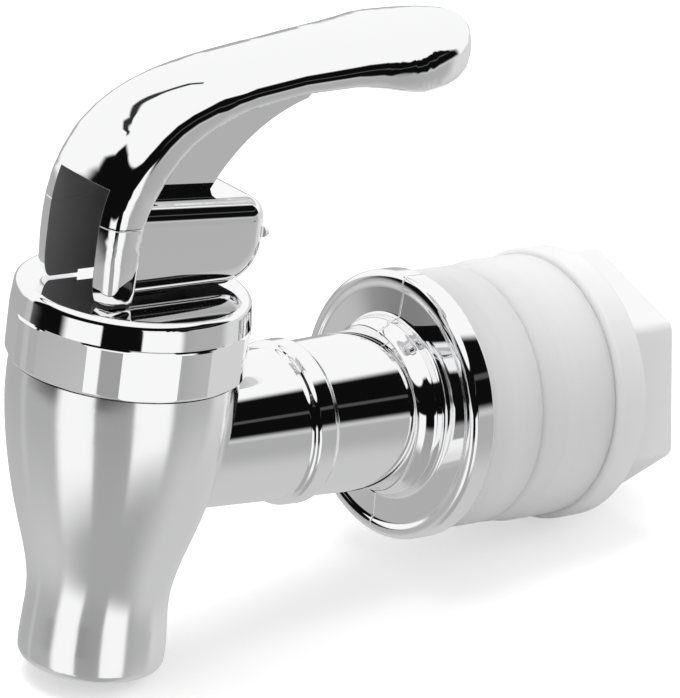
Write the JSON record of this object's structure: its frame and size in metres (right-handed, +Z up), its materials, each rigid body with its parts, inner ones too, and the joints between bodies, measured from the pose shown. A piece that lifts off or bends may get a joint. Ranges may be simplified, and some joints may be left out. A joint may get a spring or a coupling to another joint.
{
  "type": "bag in box tap",
  "caption": "Lever drinks tap: vase-shaped spout under a screwed collar and arched lever, with a flanged level pipe whose shank is clamped through a wall by washers and a hexagon nut.",
  "frame": {"origin": "on the shank's axis, at the back face of the flange, where the outer washer seats and the wall is clamped", "axes": "+X along the shank towards the nut and the inside of the container, +Z up along the spout's axis towards the lever, +Y to the left when the spout is looked at from the front"},
  "size_m": [0.108, 0.0386, 0.087],
  "materials": {
    "body_chrome": "soft-bright plating on moulded plastic",
    "bright_chrome": "mirror-bright plating on moulded plastic",
    "cup_silicone": "matt, flexible",
    "stem_plastic": "moulded dark grey plastic",
    "washer_silicone": "milky translucent silicone",
    "nut_plastic": "milky white plastic, semi-matt"
  },
  "bodies": {
    "tap_body": {"spout_body": "body_chrome", "level_pipe": "bright_chrome", "flanged_shank": "bright_chrome", "collar": "bright_chrome", "outer_washer": "washer_silicone"},
    "seat_cup": {"seat_cup": "cup_silicone"},
    "valve_stem": {"valve_stem": "stem_plastic"},
    "lever": {"lever": "bright_chrome"},
    "inner_washer": {"inner_washer": "washer_silicone"},
    "wall_nut": {"wall_nut": "nut_plastic"}
  },
  "joints": [
    {"name": "valve_lift", "type": "slide", "parent": "tap_body", "child": "seat_cup", "axis": [0, 0, 1], "range_m": [0, 0.0036], "deforming": ["seat_cup"]},
    {"name": "lever_swivel", "type": "hinge", "parent": "seat_cup", "child": "valve_stem", "pos_m": [-0.05, 0, 0], "axis": [0, 0, 1], "continuous": true},
    {"name": "lever_press", "type": "hinge", "parent": "valve_stem", "child": "lever", "pos_m": [-0.05, 0, 0.0286], "axis": [0, 1, 0], "range_deg": [0, 20], "stiffness_Nm_per_rad": 1.2, "springref_deg": -5.73},
    {"name": "washer_travel", "type": "slide", "parent": "tap_body", "child": "inner_washer", "axis": [1, 0, 0], "range_m": [0, 0.0161]},
    {"name": "nut_turn", "type": "hinge", "parent": "inner_washer", "child": "wall_nut", "pos_m": [0.0224, 0, 0], "axis": [1, 0, 0], "range_deg": [0, 2300]}
  ],
  "couplings": [
    {"joint": "valve_lift", "follows": "lever_press", "m_per_rad": 0.0101},
    {"joint": "washer_travel", "follows": "nut_turn", "m_per_rad": 0.00039789}
  ]
}
